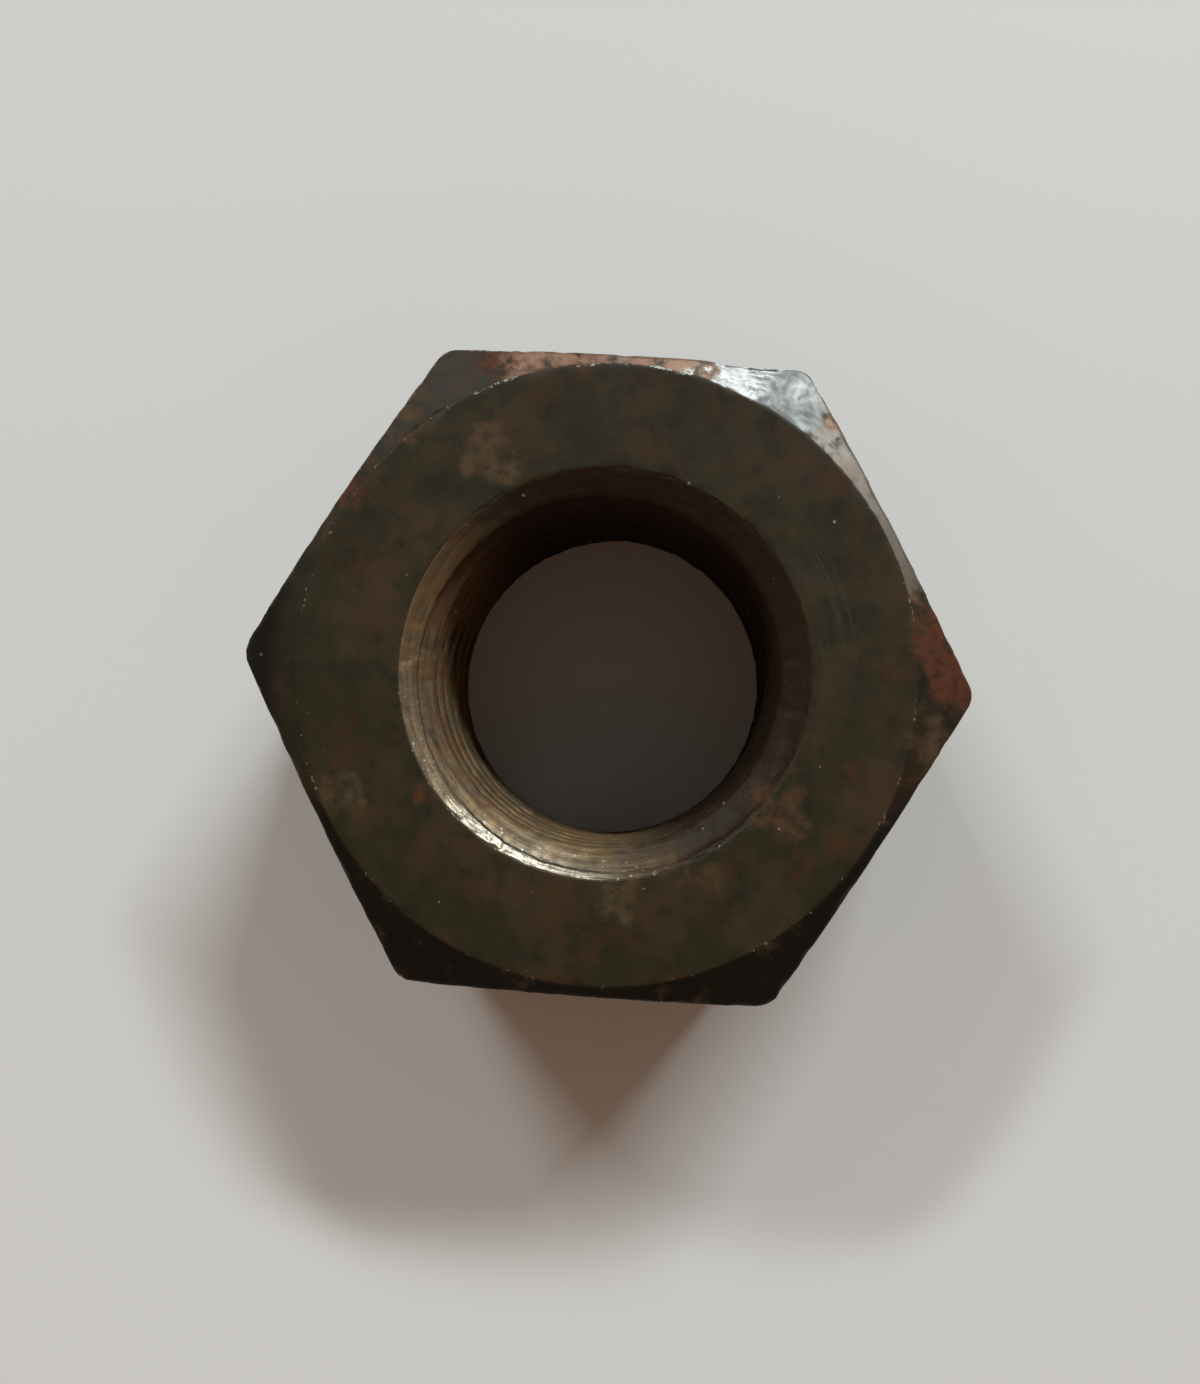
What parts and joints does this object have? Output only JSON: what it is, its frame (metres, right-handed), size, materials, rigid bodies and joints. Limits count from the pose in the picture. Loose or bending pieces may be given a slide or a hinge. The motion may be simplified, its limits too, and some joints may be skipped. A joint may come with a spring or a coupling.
{
  "type": "hex nut",
  "caption": "Thick hexagonal nut with chamfered ends, countersunk mouths and a right-hand internal thread; it clamps onto a bolt or stud.",
  "frame": {"origin": "centre of the lower bearing face, on the thread's axis", "axes": "+Z along the thread's axis, towards the upper bearing face; +X towards a corner of the hexagon"},
  "size_m": [0.0366, 0.032, 0.016],
  "materials": {
    "nut_steel": "dark forge scale and thin oil over steel, with rust bloom and bare worn edges"
  },
  "bodies": {
    "root": {"nut_body": "nut_steel"}
  },
  "joints": []
}
